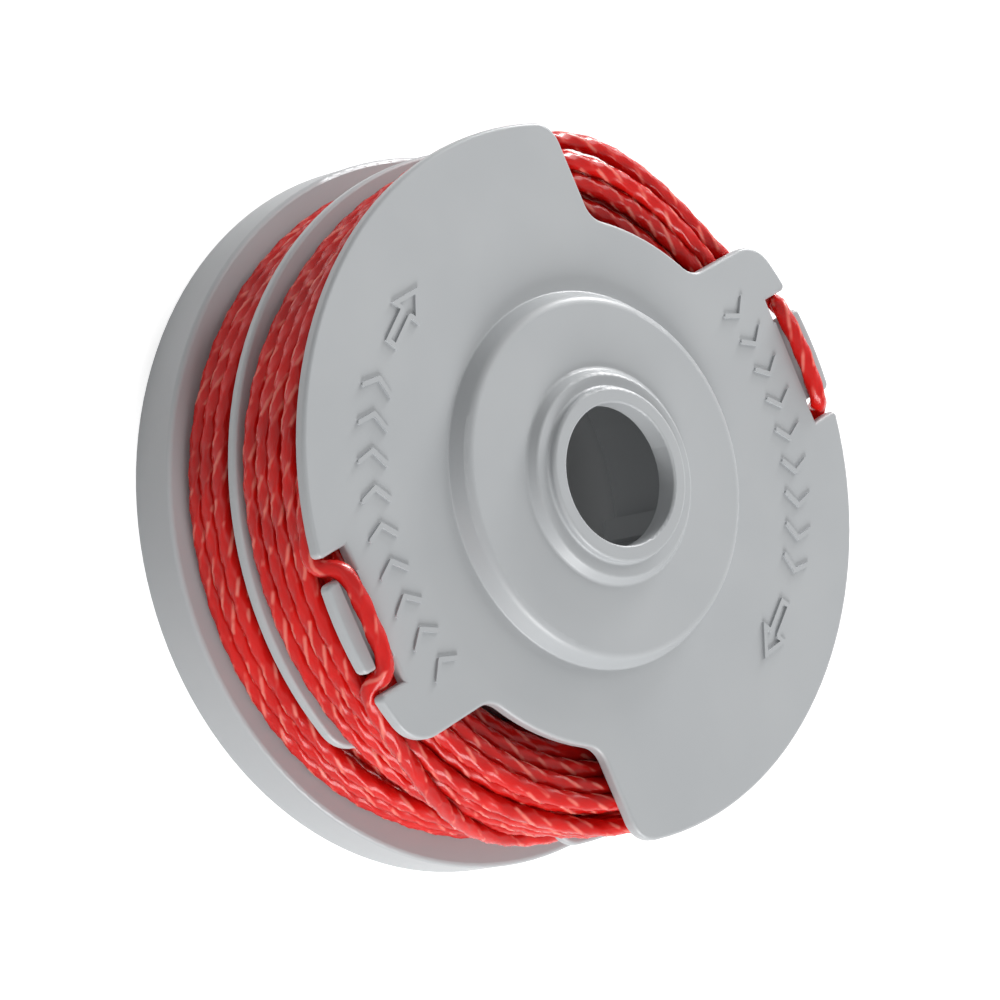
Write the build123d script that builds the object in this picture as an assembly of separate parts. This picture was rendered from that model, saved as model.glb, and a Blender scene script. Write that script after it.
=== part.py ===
from build123d import *
import os
from math import asin, cos, degrees, radians, sin, sqrt, tan

# A two-chamber spool of trimmer line, standing on the rim of its rear flange.
# Z is the spool's axis, and the two line cleats are on X. Sizes are in millimetres.

# Twisted line
LINE_D = 1.65
LINE_CLEARANCE = 0.08

# Heights, stacked up from the rim that the spool stands on
REAR_FLANGE_H = 4.9
LOWER_CHAMBER = 7.15
DIVIDER_T = 1.15
UPPER_CHAMBER = 9.1
FLANGE_T = 1.3
PLATEAU_H = 1.8
SHOULDER_H = 0.85
COLLAR_H = 0.8

# Rear flange: a skirt hanging from a flat web
RIM_R = 34.1
RIM_DRAFT = 0.15
RIM_ROUND = 0.45
SKIRT_WALL = 1.6
WEB_T = 1.4

# Winding drum and the windings on it
DRUM_R = 22.0
DRUM_WALL = 1.6
WINDING_INSET = 1.7
ANCHOR_AT = 45.0
ANCHOR_PLAY = 0.35
ANCHOR_STUB = 1.0

# Drive ribs inside the drum
RIB_COUNT = 6
RIB_W = 2.2
RIB_DEPTH = 1.5
RIB_H = 8.0

# Divider and front flange
FLANGE_R = 33.0
DIVIDER_INSET = 0.25
EDGE_ROUND = 0.35

# Corner cut-outs: two straight sides parallel to X and Y, joined by an arc about the axis
CUT_OFFSET = 12.0
CUT_ARC_R = 24.4
CUT_INNER_ROUND = 2.4
CUT_TIP_ROUND = 2.8
CUT_LOBE_ROUND = 3.6

# Line cleats: a post between two gaps in the flange, with a groove behind it
CLEAT_POST_L = 8.4
CLEAT_POST_T = 1.55
CLEAT_GAP_PLAY = 0.55
CLEAT_GROOVE_PLAY = 0.6
CLEAT_GROOVE_DEPTH = 0.7
CLEAT_POST_ROUND = 0.6
CLEAT_LIP_ROUND = 0.5

# Nose: a plateau, a shoulder and a collar round the arbor bore
PLATEAU_TOP_R = 16.4
PLATEAU_DRAFT = 0.9
PLATEAU_ROUND = 0.9
PLATEAU_FOOT_ROUND = 0.2
NOSE_WALL = 1.3
SHOULDER_W = 1.3
SHOULDER_DRAFT = 0.6
SHOULDER_ROUND = 0.35
SHOULDER_FOOT_ROUND = 0.4
COLLAR_WALL = 1.5
COLLAR_ROUND = 0.35
COLLAR_FOOT_ROUND = 0.25
BORE_R = 6.5
BORE_ROUND = 0.25
BORE_LENGTH = 2.1
POCKET_STEP = 1.7

# Raised direction marks on the front flange: an arrow led by a row of chevrons
MARK_RAISED = 0.25
MARK_STROKE = 0.42
ARROW_R = 25.2
ARROW_AT = 122.0
ARROW_L = 6.4
ARROW_HEAD_L = 3.0
ARROW_HEAD_W = 3.4
ARROW_SHAFT_W = 1.4
CHEVRON_R = 25.7
CHEVRON_W = 3.0
CHEVRON_DEPTH = 1.1
CHEVRON_COUNT = 9
CHEVRON_FIRST = 138.0
CHEVRON_STEP = 7.2

# Parked ends of the lines, over the windings and through the cleats
TAIL_BEND = 0.45
TAIL_STEP = 12.0
TAIL_ARCH = 0.45
TAIL_STANDOFF = 0.3
UPPER_TAIL_RISES = (0.36, 0.64, 0.84, 0.96)
LOWER_TAIL_RISES = (0.0, 0.27, 0.63, 0.9)

# Radii and widths worked out from the flange, the line and the bore
DIVIDER_R = FLANGE_R - DIVIDER_INSET
WINDING_R = FLANGE_R - WINDING_INSET
ANCHOR_HOLE_D = LINE_D + ANCHOR_PLAY
CLEAT_GAP = LINE_D + CLEAT_GAP_PLAY
CLEAT_GROOVE_W = LINE_D + CLEAT_GROOVE_PLAY
CLEAT_INNER_X = FLANGE_R - CLEAT_POST_T - CLEAT_GROOVE_W
PLATEAU_BASE_R = PLATEAU_TOP_R + PLATEAU_DRAFT
COLLAR_R = BORE_R + COLLAR_WALL
SHOULDER_TOP_R = COLLAR_R + SHOULDER_W
SHOULDER_BASE_R = SHOULDER_TOP_R + SHOULDER_DRAFT
POCKET_R = BORE_R + POCKET_STEP

# Levels worked out from the heights
Z_WEB = REAR_FLANGE_H
Z_DIVIDER = Z_WEB + LOWER_CHAMBER
Z_UPPER = Z_DIVIDER + DIVIDER_T
Z_FLANGE = Z_UPPER + UPPER_CHAMBER
Z_FACE = Z_FLANGE + FLANGE_T
Z_PLATEAU = Z_FACE + PLATEAU_H
Z_SHOULDER = Z_PLATEAU + SHOULDER_H
Z_TOP = Z_SHOULDER + COLLAR_H


def lathe(corners):
    """A ring turned about Z from its half section: radius, height and rounding of each corner."""
    section = make_face(Polyline(*[(r, z) for r, z, _ in corners], close=True))
    for r, z, rounding in corners:
        if rounding:
            section = fillet(section.vertices().sort_by_distance((r, z))[0], rounding)
    return revolve(Plane.XZ * section, Axis.Z)


def both_sides(shape):
    """The shape and its copy half a turn round the axis."""
    return [shape, Rot(0, 0, 180) * shape]


def round_corners(sketch, corners, radius):
    """Rounds each named corner of a flat sketch, and the one opposite it."""
    for x, y in corners:
        for sign in (1, -1):
            sketch = fillet(sketch.vertices().sort_by_distance((sign * x, sign * y))[0], radius)
    return sketch


def cut_disc(radius):
    """A flat disc with the two corner cut-outs and their rounded corners."""
    quadrant = Pos(CUT_OFFSET + radius, CUT_OFFSET + radius) * Rectangle(2 * radius, 2 * radius)
    disc = Circle(radius) - both_sides(quadrant - Circle(CUT_ARC_R))
    rim = sqrt(radius**2 - CUT_OFFSET**2)
    arc = sqrt(CUT_ARC_R**2 - CUT_OFFSET**2)
    disc = round_corners(disc, [(CUT_OFFSET, rim)], CUT_TIP_ROUND)
    disc = round_corners(disc, [(rim, CUT_OFFSET)], CUT_LOBE_ROUND)
    return round_corners(disc, [(CUT_OFFSET, arc), (arc, CUT_OFFSET)], CUT_INNER_ROUND)


def rear_flange():
    """The skirt and web of the rear flange."""
    inside = RIM_R - SKIRT_WALL
    return lathe([
        (RIM_R, 0, 0),
        (RIM_R - RIM_DRAFT, Z_WEB, RIM_ROUND),
        (DRUM_R - DRUM_WALL, Z_WEB, 0),
        (DRUM_R - DRUM_WALL, Z_WEB - WEB_T, 0),
        (inside - RIM_DRAFT, Z_WEB - WEB_T, RIM_ROUND / 2),
        (inside, 0, 0),
    ])


def anchor_pin(angle, level, diameter, outer, inner):
    """A round pin through the drum's wall, pointing at the axis."""
    pin = Pos((outer + inner) / 2, 0, level) * Rot(0, 90, 0) * Cylinder(diameter / 2, outer - inner)
    return Rot(0, 0, angle) * pin


def drum():
    """The winding drum, with the holes that hold the lines' inner ends."""
    tube = lathe([
        (DRUM_R, Z_WEB - WEB_T, 0),
        (DRUM_R, Z_FACE, 0),
        (DRUM_R - DRUM_WALL, Z_FACE, 0),
        (DRUM_R - DRUM_WALL, Z_WEB - WEB_T, 0),
    ])
    levels = (Z_UPPER + UPPER_CHAMBER / 2, Z_WEB + LOWER_CHAMBER / 2)
    for angle, level in zip((ANCHOR_AT, ANCHOR_AT + 180), levels):
        tube -= anchor_pin(angle, level, ANCHOR_HOLE_D, DRUM_R + DRUM_WALL, DRUM_R - 2 * DRUM_WALL)
    return tube


def drive_ribs():
    """Ribs on the drum's inner wall, which the head's drive turns the spool by."""
    inner = DRUM_R - DRUM_WALL
    length = RIB_DEPTH + DRUM_WALL / 2
    rib = Pos(inner - RIB_DEPTH + length / 2, 0, Z_WEB - WEB_T + RIB_H / 2) * Box(length, RIB_W, RIB_H)
    return [Rot(0, 0, (k + 0.5) * 360 / RIB_COUNT) * rib for k in range(RIB_COUNT)]


def rounded_plate(outline, thickness):
    """A plate that runs into the drum's wall, with a rounded edge along its outer outline."""
    plate = extrude(outline - Circle(DRUM_R - DRUM_WALL / 2), thickness)
    levels = plate.edges().group_by(Axis.Z)
    rim = [e for e in levels[0] + levels[-1] if e.center().X**2 + e.center().Y**2 > DRUM_R**2]
    return fillet(rim, EDGE_ROUND)


def divider():
    """The thin wall between the two chambers."""
    return Pos(0, 0, Z_DIVIDER) * rounded_plate(cut_disc(DIVIDER_R), DIVIDER_T)


def cleat_gaps():
    """Flat outlines of the two gaps beside one cleat's post."""
    length = FLANGE_R - CLEAT_INNER_X + CLEAT_GAP
    middle = (CLEAT_POST_L + CLEAT_GAP) / 2
    return [Pos(CLEAT_INNER_X + length / 2, y) * Rectangle(length, CLEAT_GAP) for y in (middle, -middle)]


def front_flange():
    """The front flange: corner cut-outs, cleats, and a rounded edge all round."""
    disc = cut_disc(FLANGE_R)
    for gap in cleat_gaps():
        disc -= both_sides(gap)
    post_end = CLEAT_POST_L / 2
    for y, radius in ((post_end, CLEAT_POST_ROUND), (post_end + CLEAT_GAP, CLEAT_LIP_ROUND)):
        x = sqrt(FLANGE_R**2 - y**2)
        disc = round_corners(disc, [(x, y), (x, -y)], radius)
    plate = Pos(0, 0, Z_FLANGE) * rounded_plate(disc, FLANGE_T)
    groove = Pos(CLEAT_INNER_X + CLEAT_GROOVE_W / 2, 0, Z_FACE) * Box(
        CLEAT_GROOVE_W, CLEAT_POST_L + CLEAT_GAP, 2 * CLEAT_GROOVE_DEPTH)
    return plate - both_sides(groove)


def nose():
    """The front wall over the drum: plateau, shoulder and collar, hollow behind, with the arbor bore."""
    z_bore = Z_TOP - BORE_LENGTH
    z_inside = Z_PLATEAU - NOSE_WALL
    return lathe([
        (DRUM_R - DRUM_WALL / 2, Z_FLANGE, 0),
        (DRUM_R - DRUM_WALL / 2, Z_FACE, 0),
        (PLATEAU_BASE_R, Z_FACE, PLATEAU_FOOT_ROUND),
        (PLATEAU_TOP_R, Z_PLATEAU, PLATEAU_ROUND),
        (SHOULDER_BASE_R, Z_PLATEAU, SHOULDER_FOOT_ROUND),
        (SHOULDER_TOP_R, Z_SHOULDER, SHOULDER_ROUND),
        (COLLAR_R, Z_SHOULDER, COLLAR_FOOT_ROUND),
        (COLLAR_R, Z_TOP, COLLAR_ROUND),
        (BORE_R, Z_TOP, BORE_ROUND),
        (BORE_R, z_bore, 0),
        (POCKET_R, z_bore, 0),
        (POCKET_R, z_inside, 0),
        (PLATEAU_TOP_R - NOSE_WALL, z_inside, 0),
        (PLATEAU_BASE_R - NOSE_WALL, Z_FLANGE, 0),
    ])


def stroke(start, end):
    """A straight raised stroke with round ends."""
    (x0, y0), (x1, y1) = start, end
    bar = SlotCenterToCenter(sqrt((x1 - x0)**2 + (y1 - y0)**2), MARK_STROKE)
    return Pos((x0 + x1) / 2, (y0 + y1) / 2) * Rot(0, 0, Vector(x1 - x0, y1 - y0).get_signed_angle(
        Vector(1, 0), Vector(0, 0, -1))) * bar


def arrow_outline():
    """A hollow arrow that points along -Y."""
    tail = ARROW_L / 2
    neck = ARROW_HEAD_L - ARROW_L / 2
    half = [(0, -tail), (ARROW_HEAD_W / 2, neck), (ARROW_SHAFT_W / 2, neck), (ARROW_SHAFT_W / 2, tail)]
    outline = make_face(Polyline(*half, *[(-x, y) for x, y in reversed(half[1:])], close=True))
    return outline - offset(outline, -MARK_STROKE)


def chevron():
    """Two strokes that meet in a point towards -Y."""
    wings = [(-CHEVRON_W / 2, CHEVRON_DEPTH / 2), (CHEVRON_W / 2, CHEVRON_DEPTH / 2)]
    return stroke(wings[0], (0, -CHEVRON_DEPTH / 2)) + stroke(wings[1], (0, -CHEVRON_DEPTH / 2))


def direction_marks():
    """The arrows and their rows of chevrons, raised from the front flange's face."""
    marks = [Rot(0, 0, ARROW_AT) * Pos(ARROW_R, 0) * arrow_outline()]
    for k in range(CHEVRON_COUNT):
        marks.append(Rot(0, 0, CHEVRON_FIRST + k * CHEVRON_STEP) * Pos(CHEVRON_R, 0) * chevron())
    foot = FLANGE_T / 2
    solids = [Pos(0, 0, Z_FACE - foot) * extrude(mark, foot + MARK_RAISED) for mark in marks]
    return [copy for solid in solids for copy in both_sides(solid)]


def spool():
    """The whole moulding."""
    body = rear_flange() + drum() + divider() + front_flange() + nose()
    return body + drive_ribs() + direction_marks()


def spread(low, high):
    """Middles of the turns of line that lie side by side between two walls."""
    room = high - low - LINE_D
    gaps = int(room / LINE_D)
    return [low + LINE_D / 2 + k * room / gaps for k in range(gaps + 1)]


def winding(z_low, chamber, hole_angle):
    """One wound line: a ring whose outside and upper end show its turns, its inner end in the drum."""
    inner = DRUM_R + LINE_CLEARANCE
    low = z_low + LINE_CLEARANCE
    levels = spread(low, z_low + chamber - LINE_CLEARANCE)
    layers = spread(inner, WINDING_R)
    outer, top = layers[-1], levels[-1]
    ring = lathe([(inner, low, 0), (outer, low, 0), (outer, top, 0), (inner, top, 0)])
    for r, z in [(outer, z) for z in levels] + [(r, top) for r in layers[:-1]]:
        ring += Pos(0, 0, z) * Torus(r, LINE_D / 2)
    stub_end = DRUM_R - DRUM_WALL - ANCHOR_STUB
    return ring + anchor_pin(hole_angle, z_low + chamber / 2, LINE_D, outer, stub_end)


def on_winding(angle, z, standoff=0):
    """A point of a line that lies on the outside of the windings."""
    r = (WINDING_R + LINE_D / 2 + LINE_CLEARANCE + standoff) / cos(radians(TAIL_STEP / 2))
    return (r * cos(radians(angle)), r * sin(radians(angle)), z)


def in_winding(angle, z):
    """A point of a line that lies in the outer layer of the windings."""
    r = WINDING_R - LINE_D / 2
    return (r * cos(radians(angle)), r * sin(radians(angle)), z)


def below(level):
    """Height of a line that lies against the underside of a wall."""
    return level - LINE_CLEARANCE - LINE_D / 2


def gap_angle():
    """Angle from X to the gap beside a cleat's post, at the outside of the windings."""
    return degrees(asin((CLEAT_POST_L + CLEAT_GAP) / 2 / WINDING_R))


def cleat_route():
    """The stretch of a parked end under the flange, up one gap, over the groove and down the other."""
    angle = gap_angle()
    x = CLEAT_INNER_X + CLEAT_GROOVE_W / 2 + LINE_CLEARANCE
    y = (CLEAT_POST_L + LINE_D) / 2 + LINE_CLEARANCE
    z = Z_FACE - CLEAT_GROOVE_DEPTH + LINE_CLEARANCE + LINE_D / 2
    return [
        on_winding(angle, below(Z_FLANGE), TAIL_STANDOFF),
        (x, y, z),
        (x + LINE_CLEARANCE, 0, z + TAIL_ARCH),
        (x, -y, z),
        on_winding(-angle, below(Z_FLANGE), TAIL_STANDOFF),
        on_winding(-angle - TAIL_STEP, below(Z_FLANGE) - LINE_D / 4),
    ]


def tail(start, finish, rises):
    """A parked end of line: out of its winding at one level, up to another, and into the cleat on X.

    It follows straight runs, joined by the widest arcs that they allow."""
    first = gap_angle() + (len(rises) + 1) * TAIL_STEP
    points = [in_winding(first, start)]
    for k, share in enumerate(rises):
        points.append(on_winding(first - (k + 1) * TAIL_STEP, start + share * (finish - start)))
    points = [Vector(*p) for p in points + cleat_route()]
    runs = [b - a for a, b in zip(points, points[1:])]
    radii = []
    for before, after in zip(runs, runs[1:]):
        half_turn = radians(before.get_angle(after)) / 2
        radii.append(TAIL_BEND * min(before.length, after.length) / tan(half_turn))
    path = FilletPolyline(*points, radius=radii)
    print("tail bends", [round(r, 1) for r in radii], "length", round(path.length, 1))
    return sweep(Plane(path @ 0, z_dir=path % 0) * Circle(LINE_D / 2), path)


def upper_line():
    """The line in the upper chamber, with its end parked in the cleat on +X."""
    end = tail(below(Z_FLANGE) - UPPER_CHAMBER / 3, below(Z_FLANGE), UPPER_TAIL_RISES)
    return winding(Z_UPPER, UPPER_CHAMBER, ANCHOR_AT) + end


def lower_line():
    """The line in the lower chamber, whose end climbs through the cut-outs to the cleat on -X."""
    end = tail(below(Z_DIVIDER), below(Z_FLANGE), LOWER_TAIL_RISES)
    return winding(Z_WEB, LOWER_CHAMBER, ANCHOR_AT + 180) + Rot(0, 0, 180) * end


def main():
    nodes = {
        "spool": spool(),
        "line_upper": upper_line(),
        "line_lower": lower_line(),
    }
    os.makedirs("parts", exist_ok=True)
    for name, solid in nodes.items():
        export_step(solid, f"parts/{name}.step")
        print(name, "solids", len(solid.solids()), "volume", round(solid.volume, 1))


main()
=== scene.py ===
# %% [markdown]
# A spool of trimmer line, dressed for its portrait.
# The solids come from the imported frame: a grey moulded spool and two lines wound on it.
# This lesson keeps the moulding's form, gives both lines their real twisted turns, makes a finish for each
# material, and sets up the studio and the camera.
# Blender works in metres, while the sizes of a small spool are easier to read in millimetres, so MM turns
# one into the other.

# %% Load the frame
from math import asin, cos, degrees, exp, radians, sin, tau

import bpy
from mathutils import Matrix, Vector


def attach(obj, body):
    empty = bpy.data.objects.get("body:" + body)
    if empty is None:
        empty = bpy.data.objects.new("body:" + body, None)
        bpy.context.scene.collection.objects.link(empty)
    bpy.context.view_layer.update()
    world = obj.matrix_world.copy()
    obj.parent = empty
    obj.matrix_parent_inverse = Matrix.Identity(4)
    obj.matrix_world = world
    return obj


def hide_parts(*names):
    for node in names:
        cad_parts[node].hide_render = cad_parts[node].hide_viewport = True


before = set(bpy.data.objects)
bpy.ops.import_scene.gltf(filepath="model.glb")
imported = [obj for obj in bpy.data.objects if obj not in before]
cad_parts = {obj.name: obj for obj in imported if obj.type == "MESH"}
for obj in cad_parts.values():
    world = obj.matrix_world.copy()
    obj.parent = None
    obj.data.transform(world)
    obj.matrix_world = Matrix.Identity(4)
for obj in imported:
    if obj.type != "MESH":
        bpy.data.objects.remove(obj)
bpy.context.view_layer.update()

MM = 0.001

# %% [markdown]
# Every finish and every tree below is made of nodes, so a few short helpers come first.
# A node is added with its settings, and its inputs are given as values or as sockets of other nodes.
# Group sockets are declared by name, because a named input tells the reader what a number is for.

# %% Helpers for node trees


def add_node(tree, kind, inputs=(), **settings):
    """Adds a node; inputs is a list of (socket, value or output socket)."""
    node = tree.nodes.new(kind)
    for name, value in settings.items():
        setattr(node, name, value)
    for socket, value in inputs:
        if isinstance(value, bpy.types.NodeSocket):
            tree.links.new(value, node.inputs[socket])
        else:
            node.inputs[socket].default_value = value
    return node


def maths(tree, operation, a, b=0.0):
    """The output of one Math node."""
    return add_node(tree, "ShaderNodeMath", [(0, a), (1, b)], operation=operation).outputs[0]


def new_group(name, kind, inputs, outputs):
    """A node group with named sockets, given as (name, socket type, default)."""
    tree = bpy.data.node_groups.new(name, kind)
    for label, socket, default in inputs:
        made = tree.interface.new_socket(label, in_out="INPUT", socket_type=socket)
        if default is not None:
            made.default_value = default
    for label, socket in outputs:
        tree.interface.new_socket(label, in_out="OUTPUT", socket_type=socket)
    return tree, tree.nodes.new("NodeGroupInput"), tree.nodes.new("NodeGroupOutput")


print("helpers ready")

# %% [markdown]
# A moulded or drawn plastic is never perfectly even: flow in the mould and handling leave soft patches and
# a very fine grain.
# Both materials of the spool show that at their own scale, so it is a shader group with two inputs.
# Patches feed the colour and the roughness, and Grain feeds a bump.

# %% Shader group: patches and grain

PATCH_DETAIL = 3.0
GRAIN_DETAIL = 2.0


def plastic_unevenness():
    """Soft patches and fine grain, on object coordinates."""
    tree, given, result = new_group(
        "plastic_unevenness", "ShaderNodeTree",
        [("Patches per metre", "NodeSocketFloat", 100.0), ("Grains per metre", "NodeSocketFloat", 2500.0)],
        [("Patches", "NodeSocketFloat"), ("Grain", "NodeSocketFloat")])
    place = add_node(tree, "ShaderNodeTexCoord").outputs["Object"]
    kinds = (("Patches", "Patches per metre", PATCH_DETAIL), ("Grain", "Grains per metre", GRAIN_DETAIL))
    for label, source, detail in kinds:
        noise = add_node(tree, "ShaderNodeTexNoise", [
            ("Vector", place), ("Scale", given.outputs[source]), ("Detail", detail)])
        tree.links.new(noise.outputs["Fac"], result.inputs[label])
    return tree


unevenness = plastic_unevenness()
print("shader group", unevenness.name)

# %% [markdown]
# The spool is a light cool grey moulding with a satin skin: broad soft reflections, brighter along the
# rounded edges, and no print.
# A flat grey would look like a render, so the patches shift its colour and gloss a little, and the grain
# gives the skin its tooth.

# %% Material: grey moulded plastic

GREY_LOW = (0.415, 0.431, 0.444, 1.0)
GREY_HIGH = (0.440, 0.455, 0.466, 1.0)
GREY_PATCHES = 90.0
GREY_GRAINS = 3200.0
GREY_ROUGHNESS = (0.35, 0.43)
GREY_TOOTH = 0.06
GRAIN_DEPTH = 0.02 * MM
NOISE_SPREAD = (0.2, 0.8)


def new_material(name):
    """An empty node material with its Principled shader."""
    material = bpy.data.materials.new(name)
    material.use_nodes = True
    return material, material.node_tree, material.node_tree.nodes["Principled BSDF"]


def use_unevenness(tree, patches, grains):
    """Places the shared group with a material's own scales."""
    node = add_node(tree, "ShaderNodeGroup", node_tree=unevenness)
    node.inputs["Patches per metre"].default_value = patches
    node.inputs["Grains per metre"].default_value = grains
    return node


def between(tree, factor, low, high):
    """A value that goes from low to high with a noise, whose values lie around one half."""
    node = add_node(tree, "ShaderNodeMapRange", [
        ("Value", factor), ("From Min", NOISE_SPREAD[0]), ("From Max", NOISE_SPREAD[1]),
        ("To Min", low), ("To Max", high)], interpolation_type="SMOOTHSTEP")
    return node.outputs["Result"]


def mixed(tree, factor, first, second):
    """A colour that goes from the first to the second."""
    node = add_node(tree, "ShaderNodeMix", [("Factor", factor), ("A", first), ("B", second)],
                    data_type="RGBA")
    return node.outputs["Result"]


def grain_bump(tree, uneven, strength):
    """The normal that the fine grain gives the skin."""
    node = add_node(tree, "ShaderNodeBump", [
        ("Height", uneven.outputs["Grain"]), ("Strength", strength), ("Distance", GRAIN_DEPTH)])
    return node.outputs["Normal"]


def grey_plastic():
    """Satin light grey plastic."""
    material, tree, shader = new_material("grey_plastic")
    uneven = use_unevenness(tree, GREY_PATCHES, GREY_GRAINS)
    patch = uneven.outputs["Patches"]
    colour = mixed(tree, between(tree, patch, 0.0, 1.0), GREY_LOW, GREY_HIGH)
    tree.links.new(colour, shader.inputs["Base Color"])
    tree.links.new(between(tree, patch, *GREY_ROUGHNESS), shader.inputs["Roughness"])
    tree.links.new(grain_bump(tree, uneven, GREY_TOOTH), shader.inputs["Normal"])
    return material


grey = grey_plastic()
print("material", grey.name)

# %% [markdown]
# The line is extruded nylon, square in section with rounded corners, and twisted.
# Its flats are a deep glossy red, while the corners stand proud and rub, so they are paler: a pale pink
# that is partly scuff wear and partly a painted highlight, the glint that twisted corners catch.
# The mesh carries the ridge of each corner as an attribute, so the pale dashes follow the twist from any
# side and stay the same under any lamp, and a noise breaks them into the short dashes that make a wound
# line look woven.
# Nylon lets some red light through, so the strands glow where nothing lies behind them: subsurface
# scattering with a long reach for red does that, while a brighter colour would glow in the shade too.

# %% Material: red twisted nylon

RED_DEEP = (0.50, 0.006, 0.005, 1.0)
RED_FLAT = (0.68, 0.012, 0.009, 1.0)
# Pale pink of the corner dashes: partly scuff wear, partly a painted highlight.
RED_SCUFF_AND_HIGHLIGHT = (0.80, 0.20, 0.16, 1.0)
RED_PATCHES = 160.0
RED_GRAINS = 1800.0
RED_ROUGHNESS = (0.17, 0.25)
RED_TOOTH = 0.08
RED_SPECULAR = 0.25
RED_TRANSLUCENCY = 0.5
RED_REACH = (1.0, 0.12, 0.1)
RED_REACH_SCALE = 2.0 * MM
SCUFF_HIGHLIGHTS_PER_METRE = 480.0
SCUFF_HIGHLIGHT_DETAIL = 1.0
SCUFF_HIGHLIGHT_RIDGE = (0.50, 0.95)
SCUFF_HIGHLIGHT_DASHES = (0.47, 0.62)
SCUFF_HIGHLIGHT_ROUGHNESS = 0.12


def fade_in(tree, value, low, high):
    """Goes from 0 at low to 1 at high."""
    node = add_node(tree, "ShaderNodeMapRange", [("Value", value), ("From Min", low), ("From Max", high)],
                    interpolation_type="SMOOTHSTEP")
    return node.outputs["Result"]


def corner_scuffs_and_highlights(tree):
    """1 on the pale dashes of the corners, partly scuffs and partly painted highlights, else 0."""
    ridge = add_node(tree, "ShaderNodeAttribute", attribute_name="ridge").outputs["Fac"]
    place = add_node(tree, "ShaderNodeTexCoord").outputs["Object"]
    dashes = add_node(tree, "ShaderNodeTexNoise", [
        ("Vector", place), ("Scale", SCUFF_HIGHLIGHTS_PER_METRE), ("Detail", SCUFF_HIGHLIGHT_DETAIL)]).outputs["Fac"]
    on_ridge = fade_in(tree, ridge, *SCUFF_HIGHLIGHT_RIDGE)
    return maths(tree, "MULTIPLY", on_ridge, fade_in(tree, dashes, *SCUFF_HIGHLIGHT_DASHES))


def red_nylon():
    """Glossy red nylon with pale corners, partly scuffed and partly painted highlights."""
    material, tree, shader = new_material("red_line")
    uneven = use_unevenness(tree, RED_PATCHES, RED_GRAINS)
    patch = uneven.outputs["Patches"]
    scuffs_and_highlights = corner_scuffs_and_highlights(tree)
    flats = mixed(tree, between(tree, patch, 0.0, 1.0), RED_DEEP, RED_FLAT)
    added_rough = maths(tree, "MULTIPLY", scuffs_and_highlights, SCUFF_HIGHLIGHT_ROUGHNESS)
    rough = maths(tree, "ADD", between(tree, patch, *RED_ROUGHNESS), added_rough)
    # The pale corner dashes are partly scuff wear and partly painted highlights, the same from every side.
    tree.links.new(mixed(tree, scuffs_and_highlights, flats, RED_SCUFF_AND_HIGHLIGHT), shader.inputs["Base Color"])
    tree.links.new(rough, shader.inputs["Roughness"])
    tree.links.new(grain_bump(tree, uneven, RED_TOOTH), shader.inputs["Normal"])
    shader.inputs["Specular IOR Level"].default_value = RED_SPECULAR
    shader.inputs["Subsurface Weight"].default_value = RED_TRANSLUCENCY
    shader.inputs["Subsurface Radius"].default_value = RED_REACH
    shader.inputs["Subsurface Scale"].default_value = RED_REACH_SCALE
    return material


red = red_nylon()
print("material", red.name)

# %% [markdown]
# The moulding itself is right in the frame: one piece with its flanges, drum, cut-outs, cleats and nose.
# Its mesh carries the exact normals of the solid, so it stays as it is and only gets its finish.
# Building it again by lathe would give the same form with more code and less exact edges.

# %% The moulding

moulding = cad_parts["spool"]
moulding.material_slots[0].material = grey
print(moulding.name, "faces", len(moulding.data.polygons), "material", grey.name)

# %% [markdown]
# Each line is one length, and its route is worked out as it is wound.
# It comes through a hole in the drum, fills the chamber in neat layers that go down and up in turn, steps
# to the next level over part of each turn, and ends in a loose outer layer.
# Seen from the nose it runs clockwise, towards decreasing angles.
# The walls and the drum are those of the moulding, in millimetres and degrees.

# %% Sizes of the windings

LINE_D = 1.65
LINE_CLEARANCE = 0.08
DRUM_R = 22.0
DIVIDER_Z = (12.05, 13.2)
FLANGE_Z = (22.3, 23.6)
ANCHOR_AT = 45.0
LAST_LAYER = 4
LAYER_STEP = 1.55
POINTS_PER_TURN = 24
STEP_ANGLE = 360.0 / POINTS_PER_TURN
CUT_MIDDLE = 45.0
CUT_HALF = 25.0
CUT_EASE = 15.0


def smooth_step(t):
    """Eases from 0 to 1."""
    t = min(max(t, 0.0), 1.0)
    return t * t * (3.0 - 2.0 * t)


def in_cut_out(angle):
    """1 in the middle of a corner cut-out and 0 outside it; the two lie half a turn apart."""
    away = abs((angle - CUT_MIDDLE + 90.0) % 180.0 - 90.0)
    return smooth_step((CUT_HALF - away) / CUT_EASE)


print("one turn has", POINTS_PER_TURN, "points")

# %% [markdown]
# The neat layers follow from three numbers at each point: the layer, the level and the angle.
# Turns that lie side by side share the same gentle waves, so they wander together and never cross.
# In the corner cut-outs nothing holds the line down, so the end turns bulge out a little there, and under
# the front flange they lean in at one angle and out at another.

# %% Route of the neat layers

TURNS_START = 285.0
CROSSING = 0.3
INNER_DROP_EASE = 1.5
WAVE = 0.12
# Size, waves in a turn and shift from layer to layer
LEVEL_WAVES = ((1.0, 3.0, 1.7), (0.6, 7.0, 2.9))
# Waves in a turn, shift from layer to layer and from wall to wall
RADIAL_WAVE = (2.0, 1.3, 2.0)
# Size, middle and width of each lean
LEANS = ((1.2, 64.0, 20.0), (-1.0, 20.0, 22.0))


def hill(angle, middle, width):
    """A smooth hill of height 1 round one angle."""
    away = (angle - middle + 180.0) % 360.0 - 180.0
    return exp(-(away / width) ** 2)


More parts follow.
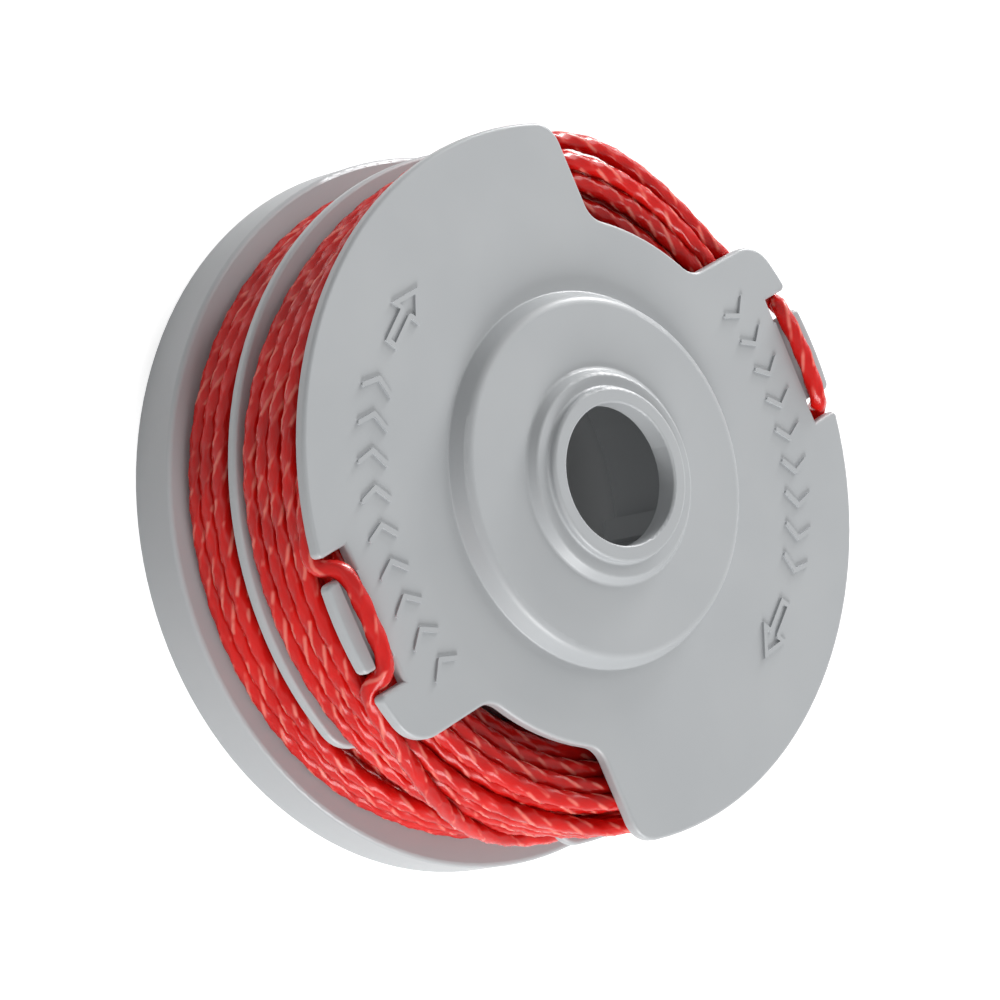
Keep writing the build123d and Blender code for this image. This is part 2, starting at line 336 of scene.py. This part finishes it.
def neat_place(line, layer, rise, angle):
    """Radius and height of a point of the neat layers; rise goes from 0 at one wall to 1 at the other."""
    outward = layer / LAST_LAYER
    share = 2.0 * rise - 1.0
    reach = line["high"] - line["low"] - LINE_D - 2.0 * LINE_CLEARANCE
    reach -= line["inner_drop"] * (1.0 - outward) ** INNER_DROP_EASE
    turn = radians(angle)
    wave = WAVE * sum(size * sin(count * turn + shift * layer) for size, count, shift in LEVEL_WAVES)
    bulge = line["bulge_high"] * max(share, 0.0) + line["bulge_low"] * min(share, 0.0)
    z = line["low"] + LINE_CLEARANCE + LINE_D / 2 + rise * reach
    z += wave * (1.0 - share * share) + in_cut_out(angle) * outward * bulge
    r = DRUM_R + LINE_CLEARANCE + LINE_D / 2 + layer * LAYER_STEP
    count, per_layer, per_level = RADIAL_WAVE
    r += WAVE * outward * sin(count * turn + per_layer * layer + per_level * share)
    lean = sum(size * hill(angle, middle, width) for size, middle, width in LEANS)
    r += line["lean"] * outward * max(share, 0.0) * lean
    return r, z


def neat_layers(line):
    """The turns from the drum outwards: (radius, height, angle) of each point."""
    places = []
    angle = ANCHOR_AT
    first_turn = round((ANCHOR_AT + line["half_turn"] - TURNS_START) % 360.0 / STEP_ANGLE)
    for layer, levels in enumerate(line["levels"]):
        for turn in range(levels):
            last_turn = turn == levels - 1
            skipped = 0 if layer or turn else POINTS_PER_TURN - first_turn
            for k in range(skipped, POINTS_PER_TURN):
                step = smooth_step((k / POINTS_PER_TURN - 1.0 + CROSSING) / CROSSING)
                climb = 1.0 if last_turn else (turn + step) / (levels - 1)
                rise = climb if layer % 2 else 1.0 - climb
                outer = min(layer + step, LAST_LAYER) if last_turn else layer
                places.append((*neat_place(line, outer, rise, angle), angle))
                angle -= STEP_ANGLE
    return places, angle


print("neat layers", LAST_LAYER + 1, "radial step", LAYER_STEP)

# %% [markdown]
# The loose layer is the last of the line that was pulled on by hand: a few open turns that wander up the
# outside of the neat ones.
# It lies fuller at some angles than at others, as the photo's outline shows, so a table gives its radius
# by angle, and the turns ease from one place of the table to the next.

# %% Route of the loose layer

LOOSE_WANDER = 0.08
WANDER_SLOW = 1.37
WANDER_QUICK = 3.61
WANDER_QUICK_SHARE = 0.5
WANDER_FROM = 0.6
WANDER_EASE = 0.5
LOOSE_FLAT = 0.17
LOOSE_CLIMB = 0.3
LOOSE_START = 0.125


def fullness(table, angle):
    """Radius of the loose turns at an angle, eased between the places of a table."""
    here = (angle - table[0][0]) % 360.0 + table[0][0]
    closed = table + [(table[0][0] + 360.0, table[0][1])]
    for (a, low), (b, high) in zip(closed, closed[1:]):
        if a <= here <= b:
            return low + (high - low) * smooth_step((here - a) / (b - a))


def loose_layer(line, angle, finish):
    """Open turns from the lowest level to where the parked end begins."""
    low = line["low"] + LINE_CLEARANCE + LINE_D / 2
    last_r, last_z = line["end"][0][1:]
    count = round((angle - finish) / STEP_ANGLE)
    turns = count / POINTS_PER_TURN
    neat_r = neat_place(line, LAST_LAYER, 0.0, angle)[0]
    places = []
    for k in range(count):
        here = angle + (finish - angle) * k / count
        turn = radians(here)
        done = k / POINTS_PER_TURN
        climb = min(max((done - LOOSE_FLAT) / (turns - LOOSE_CLIMB - LOOSE_FLAT), 0.0), 1.0)
        arrive = smooth_step((done - turns + LOOSE_CLIMB) / LOOSE_CLIMB)
        wander = sin(WANDER_SLOW * turn + line["phase"]) + WANDER_QUICK_SHARE * sin(WANDER_QUICK * turn)
        wander *= LOOSE_WANDER * smooth_step((done - WANDER_FROM) / WANDER_EASE) * (1.0 - arrive)
        settle = line["settle_first"] + (line["settle_last"] - line["settle_first"]) * done / turns
        settle *= in_cut_out(here)
        z = low + climb * (line["loose_to"] - low) + arrive * (last_z - line["loose_to"]) + wander + settle
        r = neat_r + smooth_step(done / LOOSE_START) * (fullness(line["loose_r"], here) - neat_r)
        places.append((r + arrive * (last_r - r), z, here))
    return places


print("the loose layer leaves the neat ones over", LOOSE_START, "of a turn")

# %% [markdown]
# After the loose turns the end lies over the winding, climbs to the front flange, goes up one gap of a
# cleat, over the groove behind its post and down the other gap, and stops under the flange.
# At the cleat it follows the same points as the solid, so the moulding holds it there in the same place.

# %% Route of the parked end

WINDING_R = 31.3
TAIL_STEP = 12.0
TAIL_STANDOFF = 0.3
TAIL_ARCH = 0.45
CLEAT_POST_L = 8.4
CLEAT_GAP = 2.2
CLEAT_GROOVE_W = 2.25
CLEAT_GROOVE_DEPTH = 0.7
CLEAT_INNER_X = 29.2
GAP_ANGLE = degrees(asin((CLEAT_POST_L + CLEAT_GAP) / 2 / WINDING_R))
UNDER_FLANGE = FLANGE_Z[0] - LINE_CLEARANCE - LINE_D / 2


def round_the_axis(r, z, angle):
    """A point from its radius, height and angle."""
    return Vector((r * cos(radians(angle)), r * sin(radians(angle)), z))


def on_winding(angle, z, standoff=0.0):
    """A point of a line that lies on the outside of the windings."""
    r = (WINDING_R + LINE_D / 2 + LINE_CLEARANCE + standoff) / cos(radians(TAIL_STEP / 2))
    return round_the_axis(r, z, angle)


def parked_end(line):
    """The points of the parked end, for the cleat on +X."""
    points = [round_the_axis(r, z, angle) for angle, r, z in line["end"]]
    x = CLEAT_INNER_X + CLEAT_GROOVE_W / 2 + LINE_CLEARANCE
    y = (CLEAT_POST_L + LINE_D) / 2 + LINE_CLEARANCE
    over = FLANGE_Z[1] - CLEAT_GROOVE_DEPTH + LINE_CLEARANCE + LINE_D / 2
    points += [
        on_winding(GAP_ANGLE, UNDER_FLANGE, TAIL_STANDOFF),
        Vector((x, y, over)),
        Vector((x + LINE_CLEARANCE, 0.0, over + TAIL_ARCH)),
        Vector((x, -y, over)),
        on_winding(-GAP_ANGLE, UNDER_FLANGE, TAIL_STANDOFF),
        round_the_axis(WINDING_R + TAIL_STANDOFF, UNDER_FLANGE, -GAP_ANGLE - TAIL_STEP),
        round_the_axis(WINDING_R - TAIL_STANDOFF, UNDER_FLANGE, -GAP_ANGLE - 2 * TAIL_STEP),
    ]
    return points


print("gap beside a cleat's post at", round(GAP_ANGLE, 2), "degrees")

# %% [markdown]
# The two lines follow the same rules with their own numbers: the walls, the turns in each layer, how far
# the end turns drop, bulge and lean, the loose turns with their radius by angle, how far these settle in
# the cut-outs, and the first points of the parked end as angle, radius and height.
# The lower line is worked out half a turn away from its place and turned at the end, so that both can be
# read with the cleat on +X.

# %% Numbers of the two lines

WEB_Z = 4.9
UPPER = {
    "low": DIVIDER_Z[1], "high": FLANGE_Z[0], "half_turn": 0.0,
    "levels": (3, 4, 5, 5, 5), "inner_drop": 3.0,
    "bulge_high": 0.5, "bulge_low": 0.4, "lean": 1.0,
    "loose_turns": 4, "loose_to": 19.8, "phase": 0.4,
    "loose_r": [
        (0, 31.2), (30, 30.9), (62, 31.6), (90, 30.8), (110, 30.6), (152, 31.8), (185, 31.6), (210, 30.8),
        (235, 30.7), (255, 31.6)],
    "settle_first": -0.7, "settle_last": 0.0,
    "end": [
        (69.75, 32.0, 20.8), (57.75, 32.7, 21.0), (45.75, 31.8, 21.2),
        (33.75, 30.7, 21.3), (21.75, 30.4, 21.3)],
}
LOWER = {
    "low": WEB_Z, "high": DIVIDER_Z[0], "half_turn": 180.0,
    "levels": (4, 4, 4, 4, 4), "inner_drop": 0.4,
    "bulge_high": 0.45, "bulge_low": 0.0, "lean": 0.0,
    "loose_turns": 3, "loose_to": 10.4, "phase": 2.1,
    "loose_r": [(0, 31.7), (25, 31.5), (45, 30.8), (62, 30.6), (180, 31.2), (285, 31.0), (330, 31.7)],
    "settle_first": 0.0, "settle_last": 0.8,
    "end": [
        (69.75, 31.6, 11.3), (57.75, 31.9, 11.9), (45.75, 32.2, 14.2),
        (33.75, 32.4, 17.6), (21.75, 32.5, 20.4)],
}
print("turns in the neat layers", sum(UPPER["levels"]), "and", sum(LOWER["levels"]))

# %% [markdown]
# One smooth spline carries the whole length: the stub in the drum, the neat layers, the loose ones and the
# parked end.
# A NURBS spline of order 3 stays close to its points and has no kinks.
# The middle of each of its spans takes three quarters from one point and the rest from the two beside it,
# so on a circle it runs inside the points by a known share, which is given back to the radius.

# %% The two routes as splines

DRUM_WALL = 1.6
ANCHOR_STUB = 1.0
SPLINE_ORDER = 3
SPLINE_STEPS = 8
SPLINE_SHRINK = 0.75 + 0.25 * cos(tau / POINTS_PER_TURN)


def line_points(line):
    """All the points of one line, in metres, from its inner end to its parked end."""
    middle = (line["low"] + line["high"]) / 2
    stub = DRUM_R - DRUM_WALL - ANCHOR_STUB
    points = [round_the_axis(r, middle, ANCHOR_AT) for r in (stub, DRUM_R - DRUM_WALL / 2, DRUM_R)]
    places, angle = neat_layers(line)
    end = parked_end(line)
    first = line["end"][0][0]
    finish = first + 360.0 * round((angle - first) / 360.0 - line["loose_turns"])
    places += loose_layer(line, angle, finish)
    points += [round_the_axis(r / SPLINE_SHRINK, z, a) for r, z, a in places] + end
    turn = Matrix.Rotation(radians(line["half_turn"]), 3, "Z")
    return [turn @ point * MM for point in points]


def route_curve(name, points):
    """A curve object with one smooth open spline along the route."""
    curve = bpy.data.curves.new(name, "CURVE")
    curve.dimensions = "3D"
    curve.resolution_u = SPLINE_STEPS
    spline = curve.splines.new("NURBS")
    spline.points.add(len(points) - 1)
    for place, point in zip(spline.points, points):
        place.co = (*point, 1.0)
    spline.order_u = SPLINE_ORDER
    spline.use_endpoint_u = True
    route = bpy.data.objects.new(name, curve)
    bpy.context.scene.collection.objects.link(route)
    return route


routes = {name: route_curve(name + "_route", line_points(line))
          for name, line in (("line_upper", UPPER), ("line_lower", LOWER))}
for name, route in routes.items():
    length = route.data.splines[0].calc_length()
    print(name, "points", len(route.data.splines[0].points), "length", round(length, 3), "m")

# %% [markdown]
# The strand is a rule: a square section with rounded corners that turns as it goes along its route.
# Geometry Nodes say it in a few steps: take the points of the route, tilt it by its length, bend a circle
# into the section, sweep it, and keep the ridge of the corners for the material.
# The inputs are the strand's own sizes, so another line needs only other numbers.

# %% Geometry Nodes: a twisted strand

CORNERS = 4


def twisted_strand():
    """The tree that turns a route into a twisted strand."""
    tree, given, result = new_group(
        "twisted_strand", "GeometryNodeTree",
        [("Geometry", "NodeSocketGeometry", None), ("Diameter", "NodeSocketFloat", 1.6 * MM),
         ("Corner share", "NodeSocketFloat", 0.05), ("Twist pitch", "NodeSocketFloat", 12.0 * MM),
         ("Section points", "NodeSocketInt", 16), ("Material", "NodeSocketMaterial", None)],
        [("Geometry", "NodeSocketGeometry")])
    route = add_node(tree, "GeometryNodeResampleCurve", [("Curve", given.outputs["Geometry"])],
                     mode="EVALUATED")
    along = add_node(tree, "GeometryNodeSplineParameter").outputs["Length"]
    turns = maths(tree, "DIVIDE", along, given.outputs["Twist pitch"])
    tilted = add_node(tree, "GeometryNodeSetCurveTilt", [
        ("Curve", route.outputs["Curve"]), ("Tilt", maths(tree, "MULTIPLY", turns, tau))])
    circle = add_node(tree, "GeometryNodeCurvePrimitiveCircle", [
        ("Resolution", given.outputs["Section points"]),
        ("Radius", maths(tree, "MULTIPLY", given.outputs["Diameter"], 0.5))])
    place = add_node(tree, "GeometryNodeInputPosition").outputs["Position"]
    parts = add_node(tree, "ShaderNodeSeparateXYZ", [("Vector", place)])
    around = maths(tree, "ARCTAN2", parts.outputs["Y"], parts.outputs["X"])
    lobe = maths(tree, "COSINE", maths(tree, "MULTIPLY", around, float(CORNERS)))
    held = add_node(tree, "GeometryNodeCaptureAttribute", [("Geometry", circle.outputs["Curve"])])
    held.capture_items.new("FLOAT", "Lobe")
    tree.links.new(lobe, held.inputs["Lobe"])
    swell = maths(tree, "MULTIPLY", held.outputs["Lobe"], given.outputs["Corner share"])
    shaped = add_node(tree, "ShaderNodeVectorMath", [
        ("Vector", place), ("Scale", maths(tree, "ADD", swell, 1.0))], operation="SCALE")
    section = add_node(tree, "GeometryNodeSetPosition", [
        ("Geometry", held.outputs["Geometry"]), ("Position", shaped.outputs["Vector"])])
    swept = add_node(tree, "GeometryNodeCurveToMesh", [
        ("Curve", tilted.outputs["Curve"]), ("Profile Curve", section.outputs["Geometry"]),
        ("Fill Caps", True)])
    ridge = add_node(tree, "ShaderNodeMapRange", [("Value", held.outputs["Lobe"]), ("From Min", -1.0)])
    kept = add_node(tree, "GeometryNodeStoreNamedAttribute", [
        ("Geometry", swept.outputs["Mesh"]), ("Name", "ridge"), ("Value", ridge.outputs["Result"])],
        data_type="FLOAT", domain="POINT")
    smooth = add_node(tree, "GeometryNodeSetShadeSmooth", [("Geometry", kept.outputs["Geometry"])])
    real = add_node(tree, "GeometryNodeRealizeInstances", [("Geometry", smooth.outputs["Geometry"])])
    painted = add_node(tree, "GeometryNodeSetMaterial", [
        ("Geometry", real.outputs["Geometry"]), ("Material", given.outputs["Material"])])
    tree.links.new(painted.outputs["Geometry"], result.inputs["Geometry"])
    return tree


strand_tree = twisted_strand()
print("tree", strand_tree.name, "nodes", len(strand_tree.nodes))

# %% [markdown]
# The tree runs on each route as a modifier.
# Its inputs are set by their identifiers before the first evaluation, the result becomes a plain mesh, and
# the route is thrown away.

# %% The two lines

STRAND = {
    "Diameter": 1.6 * MM, "Corner share": 0.075, "Twist pitch": 12.0 * MM, "Section points": 16,
    "Material": red,
}


def finish_piece(piece, node):
    """Ties a finished piece to the frame."""
    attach(piece, "root")
    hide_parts(node)


def plain_object(name, mesh):
    """A new object at the origin for a finished mesh."""
    mesh.name = name
    piece = bpy.data.objects.new(name, mesh)
    bpy.context.scene.collection.objects.link(piece)
    return piece


def evaluated_mesh(piece):
    """The mesh of an object with its modifiers in it."""
    ready = piece.evaluated_get(bpy.context.evaluated_depsgraph_get())
    return bpy.data.meshes.new_from_object(ready)


def set_inputs(modifier, values):
    """Sets a modifier's inputs by the names of the tree's sockets."""
    for item in modifier.node_group.interface.items_tree:
        if item.in_out == "INPUT" and item.name in values:
            modifier[item.identifier] = values[item.name]


def wound_line(name, route):
    """One line as a plain mesh."""
    modifier = route.modifiers.new("strand", "NODES")
    modifier.node_group = strand_tree
    set_inputs(modifier, STRAND)
    piece = plain_object(name + "_strand", evaluated_mesh(route))
    bpy.data.objects.remove(route)
    return piece


for name, route in routes.items():
    piece = wound_line(name, route)
    finish_piece(piece, name)
    print(piece.name, "triangles", sum(len(p.vertices) - 2 for p in piece.data.polygons))

# %% [markdown]
# The studio is a pale floor in a white room.
# More light would wash out the spool, so the floor and the room are white only to the camera, in
# reflections and through glass, by the light path, and the floor still takes the soft shadow of the spool.
# Inside the rim the floor has no glow for the camera, because the hollow underside is dark, and there it
# glows faintly for the other rays, a painted bounce of light that keeps the bore from going black.

# %% Floor and world

FLOOR_HALF = 3.0
FLOOR_Z = -0.02 * MM
FLOOR_GREY = (0.68, 0.68, 0.68, 1.0)
FLOOR_ROUGHNESS = 0.9
FLOOR_GLOW = 0.65
HOLLOW_BOUNCE = 0.20
HOLLOW_EDGE = (30.0 * MM, 33.0 * MM)
ROOM_FILL = 0.36
WHITE = (1.0, 1.0, 1.0, 1.0)


def plain_floor():
    """A wide flat floor, a hair below the rim."""
    corners = [(-1, -1), (1, -1), (1, 1), (-1, 1)]
    mesh = bpy.data.meshes.new("floor")
    mesh.from_pydata([(x * FLOOR_HALF, y * FLOOR_HALF, FLOOR_Z) for x, y in corners], [], [(0, 1, 2, 3)])
    return plain_object("floor", mesh)


def seen_directly(tree):
    """1 for camera rays, reflections and rays through glass, else 0."""
    path = add_node(tree, "ShaderNodeLightPath")
    second_hand = maths(tree, "MAXIMUM", path.outputs["Is Glossy Ray"], path.outputs["Is Transmission Ray"])
    return maths(tree, "MAXIMUM", path.outputs["Is Camera Ray"], second_hand)


def floor_material():
    """Pale floor that reads as white and keeps a shadow."""
    material, tree, shader = new_material("floor")
    shader.inputs["Base Color"].default_value = FLOOR_GREY
    shader.inputs["Roughness"].default_value = FLOOR_ROUGHNESS
    shader.inputs["Emission Color"].default_value = WHITE
    place = add_node(tree, "ShaderNodeTexCoord").outputs["Object"]
    away = add_node(tree, "ShaderNodeVectorMath", [("Vector", place)], operation="LENGTH").outputs["Value"]
    outside = fade_in(tree, away, *HOLLOW_EDGE)
    seen = seen_directly(tree)
    glow = maths(tree, "MULTIPLY", maths(tree, "MULTIPLY", seen, outside), FLOOR_GLOW)
    unseen = maths(tree, "SUBTRACT", 1.0, seen)
    inside = maths(tree, "SUBTRACT", 1.0, outside)
    # Inside the rim the floor glows faintly for the other rays: a painted bounce of light for the hollow.
    bounce = maths(tree, "MULTIPLY", maths(tree, "MULTIPLY", unseen, inside), HOLLOW_BOUNCE)
    tree.links.new(maths(tree, "ADD", glow, bounce), shader.inputs["Emission Strength"])
    return material


def studio_world():
    """White to the camera and in reflections, and a soft fill for surfaces."""
    world = bpy.data.worlds.new("studio")
    world.use_nodes = True
    tree = world.node_tree
    background = tree.nodes["Background"]
    background.inputs["Color"].default_value = WHITE
    tree.links.new(maths(tree, "MAXIMUM", seen_directly(tree), ROOM_FILL), background.inputs["Strength"])
    bpy.context.scene.world = world


floor = plain_floor()
floor.data.materials.append(floor_material())
studio_world()
print("floor", floor.name)

# %% [markdown]
# The camera stands where the photograph was taken from: above the flange, on the side of one cleat, and
# rolled.
# Its place and axes were worked out from the circles of the flanges, the divider and the nose.

# %% Camera

CAMERA_AT = Vector((-197.19, 49.55, 242.95)) * MM
CAMERA_RIGHT = Vector((0.6614, -0.3874, 0.6423))
CAMERA_UP = Vector((0.3947, 0.9079, 0.1412))
CAMERA_LENS = 118.8
CAMERA_SENSOR = 36.0
CAMERA_NEAR = 10.0 * MM


def photo_camera():
    """The camera of the photograph."""
    camera = bpy.data.objects.new("camera", bpy.data.cameras.new("camera"))
    camera.data.lens = CAMERA_LENS
    camera.data.sensor_width = CAMERA_SENSOR
    camera.data.clip_start = CAMERA_NEAR
    back = CAMERA_RIGHT.cross(CAMERA_UP).normalized()
    turn = Matrix((CAMERA_RIGHT, back.cross(CAMERA_RIGHT), back)).transposed().to_4x4()
    camera.matrix_world = Matrix.Translation(CAMERA_AT) @ turn
    bpy.context.scene.collection.objects.link(camera)
    bpy.context.scene.camera = camera
    return camera


camera = photo_camera()
print("camera at", [round(v / MM, 1) for v in camera.location])

# %% [markdown]
# Four soft boxes light the spool, besides the room: a strong one from below the camera, which draws the
# bright lines along the lower edges and lights the low turns, one behind the top, which shines into the
# strands there, a weak key on the right for the face, and a little from the front for the near side.
# One big lamp would be simpler, but it would light every side alike and flatten the steps of the nose.
# They are placed from the camera's own axes, so the light suits the view that it was set for.

# %% Lights

# Name, place to the right, up and back in metres, width in metres and power in watts
LIGHTS = [
    ("key", (0.55, 0.50, -0.05), 0.34, 1.9),
    ("top", (0.38, 0.59, -0.28), 0.20, 4.0),
    ("low", (0.20, -0.64, 0.36), 0.34, 5.0),
    ("front", (-0.05, 0.05, 0.80), 0.34, 0.3),
]
TARGET = Vector((0.0, 0.0, 14.0)) * MM


def soft_box(name, place, size, power):
    """A square area lamp, placed right, up and back of the spool as the camera sees it."""
    lamp = bpy.data.lights.new(name, "AREA")
    lamp.size = size
    lamp.energy = power
    box = bpy.data.objects.new(name, lamp)
    at = TARGET + camera.matrix_world.to_3x3() @ Vector(place)
    box.location = at
    box.rotation_euler = (TARGET - at).to_track_quat("-Z", "Y").to_euler()
    bpy.context.scene.collection.objects.link(box)


for light in LIGHTS:
    soft_box(*light)
bpy.context.scene.view_settings.view_transform = "Standard"
print("lights", [light[0] for light in LIGHTS])
